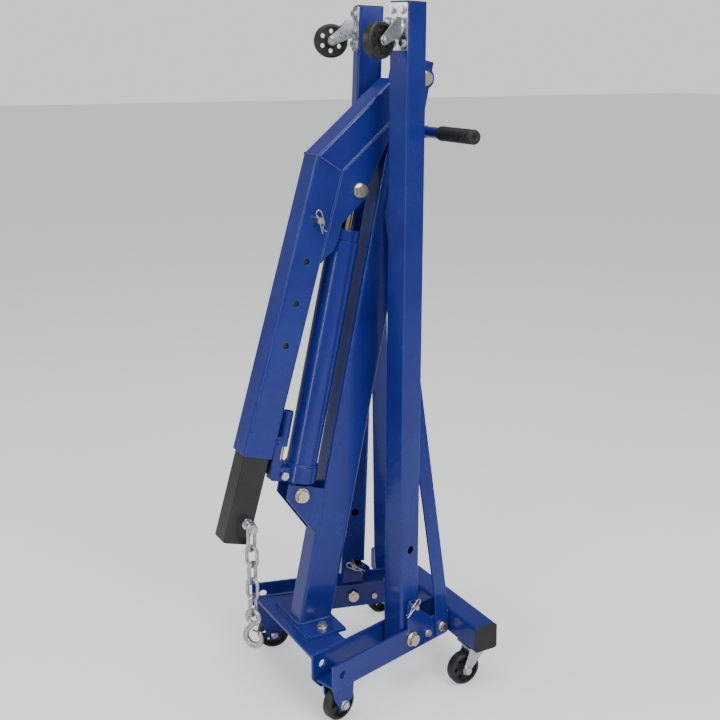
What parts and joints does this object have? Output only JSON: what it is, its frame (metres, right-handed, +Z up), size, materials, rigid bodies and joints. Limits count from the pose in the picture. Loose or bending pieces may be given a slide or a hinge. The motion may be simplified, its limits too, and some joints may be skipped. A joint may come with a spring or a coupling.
{
  "type": "engine hoist crane",
  "caption": "Folding engine hoist crane stored upright on wheels: leaning mast, cranked boom with sliding extension, hydraulic ram, chain and hook, two legs folded up.",
  "frame": {"origin": "on the floor under the middle of the crane's footprint in the stored position", "axes": "+Z up, -Y towards the front where the boom hangs, +X to the crane's own left side"},
  "size_m": [0.495, 0.5716, 1.5473],
  "materials": {
    "blue_enamel": "gloss",
    "black_enamel": "satin",
    "black_plastic": "matt",
    "black_rubber": "ribbed",
    "wheel_black": "satin",
    "yellow_zinc": "yellow passivated zinc",
    "bright_zinc": "bright zinc plate",
    "chain_zinc": "bright zinc plate",
    "polished_rod": "ground and plated",
    "inner_steel": "machined",
    "seal_rubber": "smooth"
  },
  "bodies": {
    "frame": {"rear_crossbeam": "blue_enamel", "left_side_plates": "blue_enamel", "right_side_plates": "blue_enamel", "front_wheel_brackets": "blue_enamel", "front_crossbeam": "blue_enamel", "mast_foot_plate": "blue_enamel", "mast_tube": "blue_enamel", "ram_bracket_plates": "blue_enamel", "left_brace": "blue_enamel", "right_brace": "blue_enamel", "push_handle_bar": "blue_enamel", "handle_grips": "black_rubber", "end_caps": "black_plastic", "pivot_bolts": "yellow_zinc", "base_bolts": "yellow_zinc", "front_axle_bolts": "bright_zinc", "rear_caster_plates": "bright_zinc", "left_lock_pin": "yellow_zinc", "right_lock_pin": "yellow_zinc"},
    "left_lock_clip": {"left_lock_clip": "bright_zinc"},
    "right_lock_clip": {"right_lock_clip": "bright_zinc"},
    "left_front_wheel": {"left_front_wheel": "wheel_black"},
    "right_front_wheel": {"right_front_wheel": "wheel_black"},
    "left_rear_fork": {"left_rear_fork": "bright_zinc"},
    "right_rear_fork": {"right_rear_fork": "bright_zinc"},
    "left_rear_wheel": {"left_rear_wheel": "wheel_black"},
    "right_rear_wheel": {"right_rear_wheel": "wheel_black"},
    "left_leg": {"left_leg": "blue_enamel", "left_leg_cap": "black_plastic", "left_leg_caster_plate": "bright_zinc"},
    "right_leg": {"right_leg": "blue_enamel", "right_leg_cap": "black_plastic", "right_leg_caster_plate": "bright_zinc"},
    "left_leg_fork": {"left_leg_fork": "bright_zinc"},
    "right_leg_fork": {"right_leg_fork": "bright_zinc"},
    "left_leg_wheel": {"left_leg_wheel": "wheel_black"},
    "right_leg_wheel": {"right_leg_wheel": "wheel_black"},
    "boom": {"boom_outer": "blue_enamel", "boom_gussets": "blue_enamel", "ram_top_bolt": "yellow_zinc", "boom_lock_pin": "yellow_zinc"},
    "boom_lock_clip": {"boom_lock_clip": "bright_zinc"},
    "boom_extension": {"boom_extension": "black_enamel", "hook_bolt": "bright_zinc"},
    "chain_link_1": {"chain_link_1": "chain_zinc"},
    "chain_link_2": {"chain_link_2": "chain_zinc"},
    "chain_link_3": {"chain_link_3": "chain_zinc"},
    "chain_link_4": {"chain_link_4": "chain_zinc"},
    "chain_link_5": {"chain_link_5": "chain_zinc"},
    "lifting_hook": {"lifting_hook": "chain_zinc"},
    "hook_latch": {"hook_latch": "bright_zinc"},
    "ram": {"ram_base_block": "blue_enamel", "ram_tube": "blue_enamel", "ram_gland_nut": "blue_enamel", "pressure_cylinder": "inner_steel"},
    "piston_rod": {"piston_rod": "polished_rod", "piston": "inner_steel"},
    "pump_plunger": {"pump_plunger": "polished_rod"},
    "handle_socket": {"handle_socket": "blue_enamel"},
    "release_valve": {"release_valve": "bright_zinc"}
  },
  "joints": [
    {"name": "boom_lift", "type": "hinge", "parent": "frame", "child": "boom", "pos_m": [0, 0.21386, 1.38602], "axis": [-1, 0, 0], "range_deg": [0, 100]},
    {"name": "ram_tilt", "type": "hinge", "parent": "frame", "child": "ram", "pos_m": [0, -0.10014, 0.46804], "axis": [-1, 0, 0], "range_deg": [-8.37, 0]},
    {"name": "ram_stroke", "type": "slide", "parent": "ram", "child": "piston_rod", "axis": [0, 0.2163, 0.9763], "range_m": [0, 0.42343]},
    {"name": "boom_extension_slide", "type": "slide", "parent": "boom", "child": "boom_extension", "axis": [0, -0.2756, -0.9613], "range_m": [0, 0.2805]},
    {"name": "left_leg_fold", "type": "hinge", "parent": "frame", "child": "left_leg", "pos_m": [0.1263, 0.09984, 0.1245], "axis": [0.9646, 0.2639, 0], "range_deg": [0, 90.85]},
    {"name": "left_leg_caster_swivel", "type": "hinge", "parent": "left_leg", "child": "left_leg_fork", "pos_m": [0.12846, 0.09196, 1.49477], "axis": [-0.2638, 0.9645, -0.0148], "continuous": true},
    {"name": "left_leg_wheel_spin", "type": "hinge", "parent": "left_leg_fork", "child": "left_leg_wheel", "pos_m": [0.14385, 0.03569, 1.46613], "axis": [0.9646, 0.2639, 0], "continuous": true},
    {"name": "left_front_wheel_spin", "type": "hinge", "parent": "frame", "child": "left_front_wheel", "pos_m": [0.17749, -0.08728, 0.0381], "axis": [0.9646, 0.2639, 0], "continuous": true},
    {"name": "left_rear_caster_swivel", "type": "hinge", "parent": "frame", "child": "left_rear_fork", "pos_m": [0.1975, 0.25584, 0.096], "axis": [0, 0, 1], "continuous": true},
    {"name": "left_rear_wheel_spin", "type": "hinge", "parent": "left_rear_fork", "child": "left_rear_wheel", "pos_m": [0.1975, 0.22634, 0.0381], "axis": [1, 0, 0], "continuous": true},
    {"name": "right_leg_fold", "type": "hinge", "parent": "frame", "child": "right_leg", "pos_m": [-0.1263, 0.09984, 0.1245], "axis": [0.9646, -0.2639, 0], "range_deg": [0, 92.2]},
    {"name": "right_leg_caster_swivel", "type": "hinge", "parent": "right_leg", "child": "right_leg_fork", "pos_m": [-0.11994, 0.1231, 1.49458], "axis": [0.2637, 0.9638, -0.0384], "continuous": true},
    {"name": "right_leg_wheel_spin", "type": "hinge", "parent": "right_leg_fork", "child": "right_leg_wheel", "pos_m": [-0.1355, 0.0662, 1.46733], "axis": [-0.9646, 0.2639, 0], "continuous": true},
    {"name": "right_front_wheel_spin", "type": "hinge", "parent": "frame", "child": "right_front_wheel", "pos_m": [-0.17749, -0.08728, 0.0381], "axis": [-0.9646, 0.2639, 0], "continuous": true},
    {"name": "right_rear_caster_swivel", "type": "hinge", "parent": "frame", "child": "right_rear_fork", "pos_m": [-0.1975, 0.25584, 0.096], "axis": [0, 0, 1], "continuous": true},
    {"name": "right_rear_wheel_spin", "type": "hinge", "parent": "right_rear_fork", "child": "right_rear_wheel", "pos_m": [-0.1975, 0.22634, 0.0381], "axis": [1, 0, 0], "continuous": true},
    {"name": "left_clip_pull", "type": "slide", "parent": "frame", "child": "left_lock_clip", "axis": [-0.2239, 0.8185, 0.5291], "range_m": [0, 0.045]},
    {"name": "right_clip_pull", "type": "slide", "parent": "frame", "child": "right_lock_clip", "axis": [-0.2239, -0.8185, 0.5291], "range_m": [0, 0.045]},
    {"name": "boom_clip_pull", "type": "slide", "parent": "boom", "child": "boom_lock_clip", "axis": [0, -0.2589, 0.9659], "range_m": [0, 0.045]},
    {"name": "chain_swing", "type": "hinge", "parent": "boom_extension", "child": "chain_link_1", "pos_m": [0.054, -0.23251, 0.42993], "axis": [1, 0, 0], "range_deg": [-35, 95]},
    {"name": "chain_link_2_swing", "type": "hinge", "parent": "chain_link_1", "child": "chain_link_2", "pos_m": [0.054, -0.23251, 0.37833], "axis": [-0.5736, 0.8192, 0], "range_deg": [-25, 25]},
    {"name": "chain_link_3_swing", "type": "hinge", "parent": "chain_link_2", "child": "chain_link_3", "pos_m": [0.054, -0.23251, 0.34023], "axis": [0.8192, 0.5736, 0], "range_deg": [-25, 25]},
    {"name": "chain_link_4_swing", "type": "hinge", "parent": "chain_link_3", "child": "chain_link_4", "pos_m": [0.054, -0.23251, 0.30213], "axis": [-0.5736, 0.8192, 0], "range_deg": [-25, 25]},
    {"name": "chain_link_5_swing", "type": "hinge", "parent": "chain_link_4", "child": "chain_link_5", "pos_m": [0.054, -0.23251, 0.26403], "axis": [0.8192, 0.5736, 0], "range_deg": [-25, 25]},
    {"name": "hook_swing", "type": "hinge", "parent": "chain_link_5", "child": "lifting_hook", "pos_m": [0.054, -0.23251, 0.22593], "axis": [-0.5736, 0.8192, 0], "range_deg": [-25, 25]},
    {"name": "latch_open", "type": "hinge", "parent": "lifting_hook", "child": "hook_latch", "pos_m": [0.05225, -0.23374, 0.18958], "axis": [-0.5736, 0.8192, 0], "range_deg": [0, 30], "stiffness_Nm_per_rad": 0.02},
    {"name": "pump_stroke", "type": "hinge", "parent": "ram", "child": "handle_socket", "pos_m": [0, -0.14719, 0.59318], "axis": [1, 0, 0], "range_deg": [0, 9]},
    {"name": "plunger_travel", "type": "slide", "parent": "ram", "child": "pump_plunger", "axis": [0, 0.2163, 0.9763], "range_m": [0, 0.00261]},
    {"name": "release_valve_turn", "type": "hinge", "parent": "ram", "child": "release_valve", "pos_m": [0.0125, -0.13618, 0.51802], "axis": [1, 0, 0], "range_deg": [0, 180]}
  ],
  "couplings": [
    {"joint": "ram_tilt", "follows": "boom_lift", "ratio": -0.0837},
    {"joint": "ram_stroke", "follows": "boom_lift", "m_per_rad": 0.2426},
    {"joint": "plunger_travel", "follows": "pump_stroke", "m_per_rad": 0.016}
  ]
}
